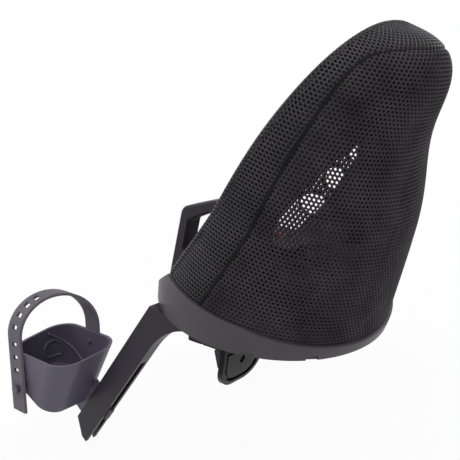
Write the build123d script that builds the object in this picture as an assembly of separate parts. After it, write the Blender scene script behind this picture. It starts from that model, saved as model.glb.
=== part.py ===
"""Front-mounted child bicycle seat: a reclined bucket of air mesh on a moulded frame and base, with a
grab handle, two legs with sliding foot cups, a harness and a quick-release post clamp.

The child faces -Y, its left is +X and +Z is up. The origin is the centre of the post socket's mouth.
"""
from build123d import *
import os
from functools import cache
from math import cos, exp, radians, sin

# Reclined seat frame: y runs back and h runs up the leaning axis, from this point of the rear centre line
recline = 18.0
seat_y = 194.0
seat_z = 51.0

# Bucket form: ellipses stacked along the leaning axis, hollowed behind the neck, that close in a dome
shell_height = 317.0
shell_floor = -45.0
shell_half_width = 143.0
shell_half_depth = 122.0
shell_centre_y = -110.0
side_taper = 0.155
back_taper = 0.03
neck_hollow = 18.0
neck_height = 220.0
neck_reach = 60.0
dome_start = 110.0
dome_width_power = 2.35
dome_depth_power = 6
shell_levels = (0, 0.12, 0.24, 0.42, 0.56, 0.66, 0.74, 0.83, 0.905, 0.955, 0.982, 0.996)

# Layers of the bucket, from the outside in
fabric = 2.4
layer_gap = 0.3
frame_wall = 6.0
rim_wrap = 3.0
seam_groove = 1.6

# Lines of the bucket seen from the side, as (y, h) in the reclined frame
rim_line = ((-166, 18), (-136, 98), (-104, 213), (-78, 304), (-67, 332))
seam_line = ((-112, 10), (-88, 108), (-73, 210), (-63, 278), (-48, 298), (-8, 312))
mesh_foot_front = 22.0
mesh_foot_bend = -60.0
mesh_foot_rear = 9.0
line_front = -240.0
line_rear = 40.0

# Window in the back frame and the open gaps of the back mesh
window_bottom = 36.0
window_top = 246.0
window_half_width = 109.0
window_widest = 80.0
window_shoulder = 200.0
window_shoulder_half_width = 84.0
window_front = -70.0
gap_size = 7.0
gap_pitch = 27.0
gap_rows = 9
gap_first_height = 38.0
gap_edge_share = 0.74

# Base tub
band_proud = 1.5
tub_wall = 4.0
tub_front = -200.0
lip_height = 10.0
nose_drop = 30.0
nose_run = 26.0
base_rear_height = 1.5
base_rise = 0.12
hollow_front = -145.0
boss_depth = 60.0
boss_inner_x = 94.0
rib_thickness = 3.0
rib_spacing = 52.0
rib_count = 5
flange_width = 18.0
flange_thickness = 6.0
edge_slot_length = 13.0
edge_slot_height = 8.0
edge_slot_angles = (30, 58)

# Tongue under the handle, as (y, z) in the part's frame
tongue_half_width = 42.0
tongue_nose_half_width = 16.0
tongue_shoulder = -28.0
tongue_bottom = 54.0
tongue_rear = 43.0
tongue_top = ((-72, 64), (-26, 80), (1, 102), (27, 113))

# Grab handle: a closed loop in the middle of the seat
handle_width = 24.0
handle_bar = 15.0
handle_top_bar = 18.0
handle_front_foot = -71.0
handle_front_top = (-46, 160)
handle_rear_top = (17, 179)
handle_rear_foot = 24.0
handle_gap_floor = 34.0
handle_corner = 15.0
handle_inner_corner = 5.0
handle_edge = 2.0

# Legs: slotted channels that run down and forward from the base
leg_x = 126.0
leg_y = 37.0
leg_z = 82.0
leg_angle = 37.0
leg_length = 240.0
leg_width = 16.0
leg_depth = 28.0
leg_wall = 2.8
leg_over = 40.0
channel_start = 78.0
channel_mouth = 8.0
slot_start = 118.0
slot_end = 228.0
slot_width = 7.0
flare_length = 52.0
flare_drop = 58.0
tip_cut = 16.0

# Slide block and its adjuster button
slide_clear = 0.4
slide_at = 168.0
slide_length = 48.0
button_width = 6.0
button_length = 18.0
button_proud = 4.0
button_depth = 12.0
button_travel = 3.0
button_round = 2.8
neck_start = 5.0
neck_end = 41.0
slide_screw_step = 34.0
slide_screw_back = 3.5
button_step = 4.0

# Foot cup
cup_x = 149.0
cup_top_y = -100.0
cup_top_z = 40.0
cup_top_width = 88.0
cup_top_length = 120.0
cup_top_corner = 30.0
cup_floor_y = -127.0
cup_floor_z = -49.0
cup_floor_width = 76.0
cup_floor_length = 70.0
cup_floor_corner = 22.0
cup_floor_pitch = 25.0
cup_wall = 3.0
cup_inner_rim = 16.0
cup_rim_slope = 0.12
bracket_start = 170.0
bracket_end = 214.0
bracket_reach = 46.0
bracket_width = 14.0

# Foot strap: a rubber band from the cup's inner wall, over the foot, to the outer wall
strap_centre = (148.7, -124.0)
strap_heading = 20.0
strap_width = 22.0
strap_thickness = 3.2
strap_span = 48.2
strap_spring = 24.0
strap_rise = 48.0
strap_inner_end = -9.0
strap_outer_end = -68.0
strap_hole = 5.6
strap_hole_length = 8.0
strap_hole_reach = 13.0
strap_hole_angles = (66, 50, 33, 15)
strap_hole_heights = (16, 0, -16)
stud_height = -39.0
rivet_height = 2.0
stud_radius = 2.3
stud_head = 5.0
stud_head_height = 3.0
stud_root = 9.0

# Post clamp under the tongue
post_radius = 12.5
bore_clear = 0.05
bore_depth = 42.0
clamp_half_width = 28.0
clamp_corner = 6.0
block_rear = 26.0
jaw_front = -26.0
jaw_gap = 2.0
jaw_height = 43.0
roof_bottom = 44.0
roof_half_width = 40.0
bolt_x = 20.0
bolt_z = 14.0
bolt_radius = 3.0
bolt_clear = 0.3
bolt_eye = 6.5
bolt_eye_width = 9.0
bolt_end = 2.0
nut_flat = 5.5
nut_height = 6.0

# Release lever
cam_radius = 8.3
cam_offset = 1.7
cam_clear = 0.3
pin_radius = 3.0
pin_clear = 0.1
lever_half_width = 37.0
lever_bottom = -48.0
lever_tuck = 13.0
lever_bow = 3.0
lever_thickness = 7.0
lever_lip = 5.0
lever_dish = 3.0
lever_gap = 2.0
lever_corner_share = 0.75
thumb_sink = 1.0
thumb_margin = 4.0
dimple_radius = 5.0
dimple_height = -16.0

# Fasteners
screw_radius = 2.0
screw_head = 3.8
screw_head_height = 3.0
screw_clear = 0.2

# Cushion and harness
cushion_height = 18.0
cushion_gap = 0.5
cushion_front = -150.0
strap_x = 34.0
webbing_width = 25.0
webbing = 1.8
webbing_top = 252.0
pad_width = 42.0
pad_thickness = 6.0
pad_bottom = 118.0
pad_top = 214.0
buckle_y = -118.0
buckle_width = 48.0
buckle_length = 40.0
buckle_height = 14.0
buckle_corner = 9.0
latch_x = 12.5
latch_width = 18.0
latch_length = 30.0
latch_thickness = 2.5
latch_depth = 14.0
webbing_front = -92.0
webbing_front_x = 16.0
press_width = 16.0
press_length = 13.0
press_proud = 1.5
press_travel = 2.0

# Reach of cutting tools
side_reach = 220.0
far = 400.0
cut_over = 1.0


def seat_point(y, h):
    """A point of the reclined frame as (y, z) of the part."""
    lean = radians(recline)
    return (seat_y + y * cos(lean) + h * sin(lean), seat_z - y * sin(lean) + h * cos(lean))


def in_seat(shape):
    """A shape of the reclined frame, placed in the part."""
    return Location((0, seat_y, seat_z), (-recline, 0, 0)) * shape


def seat_box(x0, x1, y0, y1, h0, h1):
    """A box of the reclined frame, placed in the part."""
    return in_seat(Pos((x0 + x1) / 2, (y0 + y1) / 2, (h0 + h1) / 2) * Box(x1 - x0, y1 - y0, h1 - h0))


def shell_sizes(level, inset):
    """Half width and half depth of the bucket at one level."""
    top = shell_height - inset
    rise = max(0.0, (level - dome_start) / (top - dome_start))
    straight = min(max(level, 0.0), dome_start)
    half_width = shell_half_width - side_taper * straight - inset
    hollow = neck_hollow * exp(-((level - neck_height) / neck_reach) ** 2)
    half_depth = shell_half_depth - back_taper * max(level, 0.0) - hollow - inset
    return (half_width * (1 - rise ** dome_width_power) ** (1 / dome_width_power),
            half_depth * (1 - rise ** dome_depth_power) ** (1 / dome_depth_power))


@cache
def shell_form(inset):
    """The bucket's solid form, drawn in by inset."""
    sections = []
    for share in shell_levels:
        level = shell_floor + share * (shell_height - inset - shell_floor)
        sections.append(Pos(0, shell_centre_y, level) * Ellipse(*shell_sizes(level, inset)))
    return in_seat(loft(sections))


def shell_layer(outer, inner):
    """A layer of the bucket between two insets."""
    return shell_form(outer) - shell_form(inner)


def across(face):
    """A face of the side view, extruded across the part."""
    return extrude(Plane.YZ * face, amount=side_reach, both=True)


def slab(points):
    """A polygon of the side view, extruded across the part."""
    return across(make_face(Polyline(*points, close=True)))


def behind(line, shift=0.0):
    """Everything behind a curve of the side view, which may be shifted back."""
    points = [seat_point(y + shift, h) for y, h in line]
    low = points[0][1] - far
    closing = Polyline(points[-1], (far, points[-1][1]), (far, low), (points[0][0], low), points[0])
    return across(make_face([Spline(*points), closing]))


def mesh_foot(lift):
    """The line on which the bucket stands on the base, from front to rear."""
    front = mesh_foot_front + lift
    rear = mesh_foot_rear + lift
    return [seat_point(line_front, front), seat_point(mesh_foot_bend, front), seat_point(line_rear, rear)]


def base_point(y, lift=0.0):
    """A point of the base's lower face."""
    return seat_point(y, base_rear_height + base_rise * (y - shell_centre_y - shell_half_depth) + lift)


def above(points):
    """Everything above a line of the side view."""
    return slab([(-far, points[0][1]), *points, (far, points[-1][1]), (far, far), (-far, far)])


def screw(length):
    """A countersunk-bore screw with its head's underside at the origin, pointing down."""
    shank = Pos(0, 0, -length / 2) * Cylinder(screw_radius, length)
    return shank + Pos(0, 0, screw_head_height / 2) * Cylinder(screw_head, screw_head_height)


def screw_hole(length, access):
    """The bore for a screw, with a counterbore for its head."""
    bore = Pos(0, 0, -length / 2) * Cylinder(screw_radius + screw_clear, length)
    return bore + Pos(0, 0, access / 2) * Cylinder(screw_head + screw_clear, access)


frame_outer = fabric + layer_gap
frame_inner = frame_outer + frame_wall
liner_outer = frame_inner + layer_gap
liner_inner = liner_outer + fabric


def base_tub():
    """The moulded base: a D-shaped tub with ribs below, a seat pan above and a tongue in front."""
    nose_top = seat_point(rim_line[0][0], mesh_foot_front)
    lip_top = seat_point(rim_line[0][0] - nose_run, mesh_foot_front - nose_drop)
    lip_low = seat_point(tub_front, mesh_foot_front - nose_drop - lip_height)
    profile = [base_point(line_rear), base_point(tub_front), lip_low, lip_top, nose_top, *mesh_foot(0)[1:]]
    tub = shell_form(-band_proud) & slab(profile)
    pan_under = [base_point(line_rear, -far), base_point(hollow_front, -far),
                 seat_point(hollow_front, mesh_foot_front - tub_wall), *mesh_foot(-tub_wall)[1:]]
    hollow = shell_form(tub_wall - band_proud) & slab(pan_under)
    boss_width = shell_half_width - boss_inner_x
    for side in (-1, 1):
        boss = Pos(side * (boss_inner_x + boss_width / 2), hollow_front + boss_depth / 2, 0)
        hollow -= in_seat(boss * Box(boss_width, boss_depth, far))
    for i in range(rib_count):
        x = (i - (rib_count - 1) / 2) * rib_spacing
        hollow -= Pos(x, seat_y, 0) * Box(rib_thickness, far, far)
    tub -= hollow
    front = tongue_top[0][0]
    profile = [(tongue_rear, tongue_bottom), (front, tongue_bottom), *tongue_top,
               (tongue_rear, tongue_top[-1][1] - tub_wall)]
    shoulder = (tongue_half_width, tongue_shoulder)
    half_plan = [(tongue_half_width, tongue_rear), shoulder, (tongue_nose_half_width, front)]
    plan = make_face(Polyline(*half_plan, *[(-x, y) for x, y in reversed(half_plan)], close=True))
    tub += slab(profile) & extrude(plan, amount=far)
    for angle in edge_slot_angles:
        for direction in (angle, 180 - angle):
            half_width, half_depth = shell_sizes(0, -band_proud)
            x = half_width * cos(radians(direction))
            y = shell_centre_y + half_depth * sin(radians(direction))
            slot_y, slot_z = base_point(y)
            slot = Location((x, slot_y, slot_z), (0, 0, direction))
            tub -= slot * Box(tub_wall, edge_slot_length, edge_slot_height)
    return tub


def window_cut():
    """The lens-shaped window through the back frame."""
    outline = Spline(
        (0, window_bottom), (window_half_width, window_widest), (window_shoulder_half_width, window_shoulder),
        (0, window_top), (-window_shoulder_half_width, window_shoulder), (-window_half_width, window_widest),
        periodic=True)
    face = Plane((0, window_front, 0), x_dir=(1, 0, 0), z_dir=(0, -1, 0)) * make_face(outline)
    return in_seat(extrude(face, amount=-far))


def back_frame():
    """The moulded arch that carries the mesh, with a flange on the base and a window behind the back."""
    wall = shell_layer(frame_outer, frame_inner) & behind(rim_line, rim_wrap + layer_gap)
    wall = wall & above(mesh_foot(0))
    wall -= window_cut()
    flange = shell_layer(frame_outer, frame_inner + flange_width) & behind(rim_line, rim_wrap + layer_gap)
    flange = flange & above(mesh_foot(0))
    flange -= above(mesh_foot(flange_thickness))
    return wall + flange


def mesh_gaps():
    """Six-sided gaps in staggered rows over the back."""
    gaps = []
    for row in range(gap_rows):
        height = gap_first_height + row * gap_pitch
        reach = gap_edge_share * shell_sizes(height, 0)[0]
        count = int(reach / gap_pitch)
        for column in range(-count, count + 1):
            x = (column + 0.5 * (row % 2)) * gap_pitch
            if abs(x) <= reach:
                place = Plane((x, window_front, height), x_dir=(1, 0, 0), z_dir=(0, -1, 0))
                gaps.append(in_seat(extrude(place * RegularPolygon(gap_size, 6), amount=-far)))
    return gaps


def mesh_back_panel():
    """The back's outer mesh, from seam to seam."""
    panel = shell_layer(0, fabric) & behind(seam_line, seam_groove / 2)
    panel = panel & above(mesh_foot(layer_gap))
    return panel - mesh_gaps()


def mesh_side_panel():
    """The band of mesh along the rim, which wraps the frame's edge and ends at the liner."""
    band = shell_layer(0, fabric) & behind(rim_line)
    band -= behind(seam_line, -seam_groove / 2)
    wrap = shell_layer(0, liner_inner) & behind(rim_line)
    wrap -= behind(rim_line, rim_wrap)
    return (band + wrap) & above(mesh_foot(layer_gap))


def mesh_liner():
    """The inner mesh that the child leans on."""
    liner = shell_layer(liner_outer, liner_inner) & behind(rim_line, rim_wrap + layer_gap)
    return liner & above(mesh_foot(flange_thickness + layer_gap))


def seat_cushion():
    """The pad on the seat pan, between the liner's sides."""
    low = flange_thickness + layer_gap
    pad = shell_form(liner_inner + cushion_gap) & above(mesh_foot(low))
    pad -= above(mesh_foot(low + cushion_height))
    return pad & seat_box(-side_reach, side_reach, cushion_front, far, -far, far)


def grab_handle():
    """A closed loop that stands on the tongue, with a slanted gap for the fingers."""
    foot = [point for point in tongue_top if handle_front_foot < point[0] < handle_rear_foot]
    front_foot = (handle_front_foot, tongue_height(handle_front_foot))
    rear_foot = (handle_rear_foot, tongue_height(handle_rear_foot))
    corners = [front_foot, handle_front_top, handle_rear_top, rear_foot, *reversed(foot)]
    outer = make_face(Polyline(*corners, close=True))
    outer = fillet(outer.vertices().group_by(Axis.Y)[-2:], handle_corner)
    rise = (handle_front_top[0] - handle_front_foot) / (handle_front_top[1] - front_foot[1])
    low = front_foot[1] + handle_gap_floor
    high = handle_front_top[1] - handle_bar
    inner = make_face(Polyline(
        (handle_front_foot + rise * handle_gap_floor + handle_bar, low),
        (handle_front_foot + rise * (high - front_foot[1]) + handle_bar, high),
        (handle_rear_top[0] - handle_bar, handle_rear_top[1] - handle_top_bar),
        (handle_rear_foot - handle_bar, rear_foot[1] + handle_bar), close=True))
    inner = fillet(inner.vertices(), handle_inner_corner)
    loop = extrude(Plane.YZ * (outer - inner), amount=handle_width / 2, both=True)
    rim = loop.faces().filter_by(Axis.X).edges()
    rim = rim.filter_by(lambda edge: edge.center().Z > tongue_height(edge.center().Y) + handle_edge)
    return chamfer(rim, handle_edge)


def tongue_height(y):
    """Height of the tongue's upper face."""
    for (y0, z0), (y1, z1) in zip(tongue_top, tongue_top[1:]):
        if y <= y1:
            return z0 + (y - y0) / (y1 - y0) * (z1 - z0)
    return tongue_top[-1][1]


def leg_point(v, s):
    """A point of the leg as (y, z): v to its front face and s down its length."""
    lean = radians(leg_angle)
    return (leg_y - v * cos(lean) - s * sin(lean), leg_z + v * sin(lean) - s * cos(lean))


def on_leg(shape):
    """A shape of the leg's own frame (x across, y to the front face, z down the leg), placed in the part."""
    lean = radians(leg_angle)
    frame = Plane((leg_x, leg_y, leg_z), x_dir=(1, 0, 0), z_dir=(0, -sin(lean), -cos(lean)))
    return frame.location * shape


def leg_box(width, v0, v1, s0, s1):
    """A box of the leg's frame between two depths and two lengths."""
    return Pos(0, (v0 + v1) / 2, (s0 + s1) / 2) * Box(width, v1 - v0, s1 - s0)


def base_height(y):
    """Height of the base's lower face at y."""
    (y0, z0), (y1, z1) = base_point(tub_front), base_point(line_rear)
    return z0 + (y - y0) / (y1 - y0) * (z1 - z0)


def flare_start():
    """Length along the leg at which its rear face meets the base."""
    def drop(s):
        y, z = leg_point(-leg_depth / 2, s)
        return z - base_height(y)
    return drop(0) / (drop(0) - drop(1))


def leg():
    """A channel, open to the rear, with a slot in front for the slide and a flare under the base."""
    half = leg_depth / 2
    inner = half - leg_wall
    bar = leg_box(leg_width, -half, half, -leg_over, leg_length)
    bar -= leg_box(leg_width - 2 * leg_wall, -inner, inner, channel_start, leg_length + leg_over)
    bar -= leg_box(channel_mouth, -leg_depth, 0, channel_start, leg_length + leg_over)
    bar -= leg_box(slot_width, 0, leg_depth, slot_start, slot_end)
    past = leg_length + cut_over
    tip = Polyline((half, leg_length - tip_cut), (half + cut_over, past), (-half / 2, past), close=True)
    bar -= extrude(Plane.YZ * make_face(tip), amount=leg_width, both=True)
    start = flare_start()
    corner = leg_point(-half, start)
    low = leg_point(-half, start + flare_drop)
    rear = (corner[0] + flare_length, base_height(corner[0] + flare_length))
    web = [low, leg_point(0, start + flare_drop), leg_point(0, start - leg_over), rear]
    flare_face = make_face([Polyline(*web), Bezier(rear, corner, low)])
    flare = Pos(leg_x, 0, 0) * extrude(Plane.YZ * flare_face, amount=leg_width / 2, both=True)
    post = on_leg(bar) + flare
    post -= above([base_point(tub_front), base_point(line_rear)])
    return post


def slide_block():
    """The block that runs in the leg's channel, with a pocket for the button and bores for its screws."""
    half = leg_depth / 2
    inner = half - leg_wall - slide_clear
    width = leg_width - 2 * leg_wall - 2 * slide_clear
    block = leg_box(width, -inner, inner, slide_at, slide_at + slide_length)
    pocket = -inner + button_depth + button_travel + slide_clear
    block -= leg_box(button_width + 2 * slide_clear, -half, pocket, button_at() - slide_clear,
                     button_at() + button_length + slide_clear)
    neck = slot_width - 2 * slide_clear
    block += leg_box(neck, inner, half + slide_clear, slide_at + neck_start, slide_at + neck_end)
    block -= slide_screw_place() * screw_hole(leg_depth, leg_depth)
    return on_leg(block)


def button_at():
    """Start of the adjuster button along the leg."""
    return slide_at + button_step


def adjuster_button():
    """The sprung tab that is pressed to free the slide."""
    half = leg_depth / 2
    inner = half - leg_wall - slide_clear
    end = button_at() + button_length
    tab = leg_box(button_width, -half - button_proud, -inner + button_depth, button_at(), end)
    outer_edges = tab.faces().sort_by(Axis.Y)[0].edges()
    return on_leg(fillet(outer_edges, button_round))


def slide_screw_place():
    """Where the slide's screw sits in the leg's frame, head to the rear."""
    return Location((0, -slide_screw_back, slide_at + slide_screw_step), (90, 0, 0))


def slide_screw():
    """The screw through the leg's slot that ties the slide block to the foot cup's bracket."""
    return on_leg(slide_screw_place() * screw(leg_depth))


def cup_form(inset):
    """The foot cup's form, drawn in by inset."""
    pitch = radians(cup_floor_pitch)
    floor = Plane((cup_x, cup_floor_y, cup_floor_z), x_dir=(1, 0, 0), z_dir=(0, sin(pitch), cos(pitch)))
    cut = 2 * inset
    bottom = RectangleRounded(cup_floor_width - cut, cup_floor_length - cut, cup_floor_corner - inset)
    top = RectangleRounded(cup_top_width - cut, cup_top_length - cut, cup_top_corner - inset)
    return loft([floor.offset(inset) * bottom, Pos(cup_x, cup_top_y, cup_top_z) * top])


def in_strap(shape):
    """A shape of the strap's plane (x along the strap's run, y up), placed in the part."""
    heading = radians(strap_heading)
    run = (cos(heading), -sin(heading), 0)
    frame = Plane((*strap_centre, 0), x_dir=run, z_dir=(-sin(heading), -cos(heading), 0))
    return frame.location * shape


def strap_leg(side):
    """Middle of the strap's inner (-1) or outer (1) leg, as (x, y) of the part."""
    heading = radians(strap_heading)
    reach = side * (strap_span - strap_thickness / 2)
    return strap_centre[0] + reach * cos(heading), strap_centre[1] - reach * sin(heading)


def cup_stud(side, height):
    """A headed stud across the cup's wall that the strap hooks on."""
    x, y = strap_leg(side)
    start = x - side * stud_root
    end = x + side * strap_thickness
    stud = Location(((start + end) / 2, y, height), (0, 90, 0)) * Cylinder(stud_radius, abs(end - start))
    cap_x = end + side * stud_head_height / 2
    return stud + Location((cap_x, y, height), (0, 90, 0)) * Cylinder(stud_head, stud_head_height)


def foot_cup():
    """The foot cup with its bracket, its studs and a rim that falls a little to the outside."""
    rim_x = cup_x - cup_top_width / 2
    low = cup_inner_rim - cup_rim_slope * far
    high = cup_inner_rim + cup_rim_slope * far
    rim = make_face(Polyline((rim_x + far, low), (rim_x - far, high), (rim_x + far, high), close=True))
    half = leg_depth / 2
    bracket = leg_box(bracket_width, half + slide_clear, half + bracket_reach, bracket_start, bracket_end)
    cup = cup_form(0) + on_leg(bracket)
    cup -= cup_form(cup_wall)
    cup -= extrude(Plane.XZ * rim, amount=far, both=True)
    cup -= on_leg(slide_screw_place() * screw_hole(leg_depth, leg_depth))
    return cup + cup_stud(1, stud_height) + cup_stud(-1, rivet_height)


def foot_strap():
    """A rubber strap over the foot: an arch with two legs against the cup's walls and a row of holes."""
    ring = Ellipse(strap_span, strap_rise)
    ring -= Ellipse(strap_span - strap_thickness, strap_rise - strap_thickness)
    ring = Pos(0, strap_spring) * (ring & Pos(0, strap_rise / 2) * Rectangle(far, strap_rise))
    reach = strap_span - strap_thickness / 2
    for side, end in ((-1, strap_inner_end), (1, strap_outer_end)):
        ring += Pos(side * reach, (strap_spring + end) / 2) * Rectangle(strap_thickness, strap_spring - end)
    half = strap_width / 2
    face = in_strap(ring)
    band = extrude(face, amount=half, dir=(0, 1, 0)) + extrude(face, amount=half, dir=(0, -1, 0))
    tool = Box(strap_hole_reach, strap_hole, strap_hole_length)
    for angle in strap_hole_angles:
        x = reach * cos(radians(angle))
        y = strap_spring + strap_rise * sin(radians(angle))
        band -= in_strap(Location((x, y, 0), (0, 0, angle)) * tool)
    for side, heights in ((1, (*strap_hole_heights, stud_height)), (-1, (rivet_height,))):
        for height in heights:
            band -= Pos(*strap_leg(side), height) * Box(strap_hole_reach, strap_hole_length, strap_hole)
    return band


def pin_y():
    """Place of the lever's pin behind the clamp block."""
    return block_rear + cam_clear + cam_radius + cam_offset


def clamp_plan(front, rear, half_width):
    """The clamp's plan between two faces, with rounded outer corners."""
    middle = (jaw_front + block_rear) / 2
    whole = Pos(0, middle) * RectangleRounded(2 * half_width, block_rear - jaw_front, clamp_corner)
    return whole & Pos(0, (front + rear) / 2) * Rectangle(far, rear - front)


def bolt_holes():
    """The two bores for the clamp bolts."""
    tools = []
    for side in (-1, 1):
        place = Location((side * bolt_x, 0, bolt_z), (90, 0, 0))
        tools.append(place * Cylinder(bolt_radius + bolt_clear, far))
    return tools


def post_bore():
    """The socket for the bracket's post."""
    return Pos(0, 0, bore_depth / 2) * Cylinder(post_radius + bore_clear, bore_depth)


def mount_block():
    """The rear jaw and the roof of the post clamp, screwed under the tongue."""
    block = extrude(clamp_plan(jaw_gap / 2, block_rear, clamp_half_width), amount=tongue_bottom)
    roof = extrude(clamp_plan(jaw_front, block_rear, roof_half_width), amount=tongue_bottom - roof_bottom)
    block += Pos(0, 0, roof_bottom) * roof
    return block - [post_bore(), *bolt_holes()]


def clamp_jaw():
    """The front jaw of the post clamp."""
    plan = clamp_plan(jaw_front, -jaw_gap / 2, clamp_half_width)
    return extrude(plan, amount=jaw_height) - [post_bore(), *bolt_holes()]


def clamp_bolts():
    """Two eye bolts that draw the jaws together."""
    bolts = []
    for side in (-1, 1):
        front = jaw_front - nut_height - bolt_end
        length = pin_y() - front
        shank = Location((0, front + length / 2, 0), (90, 0, 0)) * Cylinder(bolt_radius, length)
        eye = Location((0, pin_y(), 0), (0, 90, 0)) * Cylinder(bolt_eye, bolt_eye_width)
        hole = Location((0, pin_y(), 0), (0, 90, 0)) * Cylinder(pin_radius + pin_clear, far)
        bolts.append(Pos(side * bolt_x, 0, bolt_z) * (shank + eye - hole))
    return bolts


def clamp_nuts():
    """The nuts on the front ends of the bolts."""
    nuts = []
    for side in (-1, 1):
        ring = RegularPolygon(nut_flat, 6, major_radius=False) - Circle(bolt_radius + pin_clear)
        nut = extrude(ring, amount=nut_height)
        nuts.append(Location((side * bolt_x, jaw_front, bolt_z), (90, 0, 0)) * nut)
    return nuts


def lever_pin():
    """The pin on which the lever turns."""
    return Location((0, pin_y(), bolt_z), (0, 90, 0)) * Cylinder(pin_radius, 2 * lever_half_width)


def lever_outline(inset):
    """The paddle's outline from behind: straight at the top and rounded below."""
    half = lever_half_width - inset
    top = bolt_z - bolt_eye - lever_gap - inset
    corner = half * lever_corner_share
    plate = Pos(0, (top + lever_bottom + inset) / 2) * Rectangle(2 * half, top - lever_bottom - inset)
    return fillet(plate.vertices().group_by(Axis.Y)[0], corner)


def lever_plate(front, rear):
    """A slab of the paddle between two curved faces, each given by its distance behind the pin."""
    top = bolt_z
    low = lever_bottom - cut_over
    bow = (top + low) / 2
    arcs = []
    for offset in (front, rear):
        y = pin_y() + offset
        arcs.append(ThreePointArc((y, top), (y - lever_bow, bow), (y - lever_tuck, low)))
    ends = [Line(arcs[0] @ end, arcs[1] @ end) for end in (0, 1)]
    return across(make_face([*arcs, *ends]))


def behind_clamp(face):
    """A face of the rear view, extruded along Y."""
    return extrude(Plane.XZ * face, amount=far, both=True)


def release_lever():
    """The paddle with its cams: it hangs behind the clamp when shut and swings up to open."""
    paddle = lever_plate(0, lever_thickness) & behind_clamp(lever_outline(0))
    dish = lever_plate(lever_thickness - lever_dish, lever_thickness + lever_dish)
    paddle -= dish & behind_clamp(lever_outline(lever_lip))
    gap = bolt_eye_width + 2 * slide_clear
    spans = [(-bolt_x + gap / 2, bolt_x - gap / 2)]
    spans += [(side * (bolt_x + gap / 2), side * lever_half_width) for side in (-1, 1)]
    for start, end in spans:
        width = abs(end - start)
        x = (start + end) / 2
        paddle += Location((x, pin_y() - cam_offset, bolt_z), (0, 90, 0)) * Cylinder(cam_radius, width)
        arm = Box(width, lever_thickness, 2 * bolt_eye)
        paddle += Pos(x, pin_y() + lever_thickness / 2, bolt_z - bolt_eye) * arm
    return paddle - Location((0, pin_y(), bolt_z), (0, 90, 0)) * Cylinder(pin_radius + pin_clear, far)


def lever_pad():
    """The soft thumb pad in the paddle's dish."""
    pad = lever_plate(lever_thickness - lever_dish, lever_thickness - thumb_sink)
    pad = pad & behind_clamp(lever_outline(lever_lip + thumb_margin))
    dimple_y = pin_y() + lever_thickness - thumb_sink - lever_bow
    return pad - Location((0, dimple_y, dimple_height), (90, 0, 0)) * Cylinder(dimple_radius, 2 * lever_dish)


def cushion_top(lift):
    """Height above the base line of a layer on the cushion."""
    return flange_thickness + layer_gap + cushion_height + lift


def shoulder_strap():
    """Webbing that lies down the liner and forward over the cushion to the buckle."""
    outer = liner_inner + layer_gap
    half = webbing_width / 2
    back = shell_layer(outer, outer + webbing)
    back = back & seat_box(strap_x - half, strap_x + half, shell_centre_y / 2, far, 0, webbing_top)
    back = back & above(mesh_foot(cushion_top(layer_gap)))
    plan = make_face(Polyline(
        (webbing_front_x - half, webbing_front), (webbing_front_x + half, webbing_front),
        (strap_x + half, line_rear), (strap_x - half, line_rear), close=True))
    run = in_seat(extrude(plan, amount=far)) & shell_form(outer)
    run = run & above(mesh_foot(cushion_top(layer_gap)))
    return back + (run - above(mesh_foot(cushion_top(layer_gap + webbing))))


def shoulder_pad():
    """The soft sleeve over the shoulder webbing."""
    outer = liner_inner + 2 * layer_gap + webbing
    half = pad_width / 2
    pad = shell_layer(outer, outer + pad_thickness)
    return pad & seat_box(strap_x - half, strap_x + half, shell_centre_y / 2, far, pad_bottom, pad_top)


def buckle_floor():
    """Height of the buckle's underside in the reclined frame."""
    return mesh_foot_front + cushion_top(layer_gap)


def latch_floor():
    """Height of the latch tongues' underside in the reclined frame."""
    return buckle_floor() + webbing + layer_gap


def buckle_body():
    """The buckle's case, with two pockets for the latch tongues and one for the button."""
    case = extrude(RectangleRounded(buckle_width, buckle_length, buckle_corner), amount=buckle_height)
    case = in_seat(Pos(0, buckle_y, buckle_floor()) * case)
    rear = buckle_y + buckle_length / 2
    half = latch_width / 2 + layer_gap
    for side in (-1, 1):
        x = side * latch_x
        case -= seat_box(x - half, x + half, rear - latch_depth - layer_gap, far, latch_floor() - layer_gap,
                         latch_floor() + latch_thickness + layer_gap)
    return case - buckle_press(layer_gap, press_travel + layer_gap)


def buckle_press(clear, spare):
    """The button's form with a clearance round it and spare depth below."""
    top = buckle_floor() + buckle_height + press_proud
    bottom = latch_floor() + latch_thickness + 2 * layer_gap + press_travel - spare
    y = buckle_y - buckle_length / 2 + press_length
    return seat_box(-press_width / 2 - clear, press_width / 2 + clear, y - press_length / 2 - clear,
                    y + press_length / 2 + clear, bottom, top)


def buckle_button():
    """The release button in the buckle's face."""
    return buckle_press(0, 0)


def strap_latch():
    """The flat tongue on the webbing's end, pushed into the buckle."""
    rear = buckle_y + buckle_length / 2
    return seat_box(latch_x - latch_width / 2, latch_x + latch_width / 2, rear - latch_depth,
                    rear - latch_depth + latch_length, latch_floor(), latch_floor() + latch_thickness)


def crotch_strap():
    """Webbing from the seat pan, up the cushion's front and into the buckle."""
    front = cushion_front - layer_gap
    top = buckle_floor() + webbing
    half = webbing_width / 2
    rise = seat_box(-half, half, front - webbing, front, mesh_foot_front, top)
    return rise + seat_box(-half, half, front - webbing, buckle_y - buckle_length / 2, buckle_floor(), top)


def both_sides(shape):
    """A left-hand piece and its mirror image."""
    return {"left": shape, "right": mirror(shape, about=Plane.YZ)}


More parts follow.
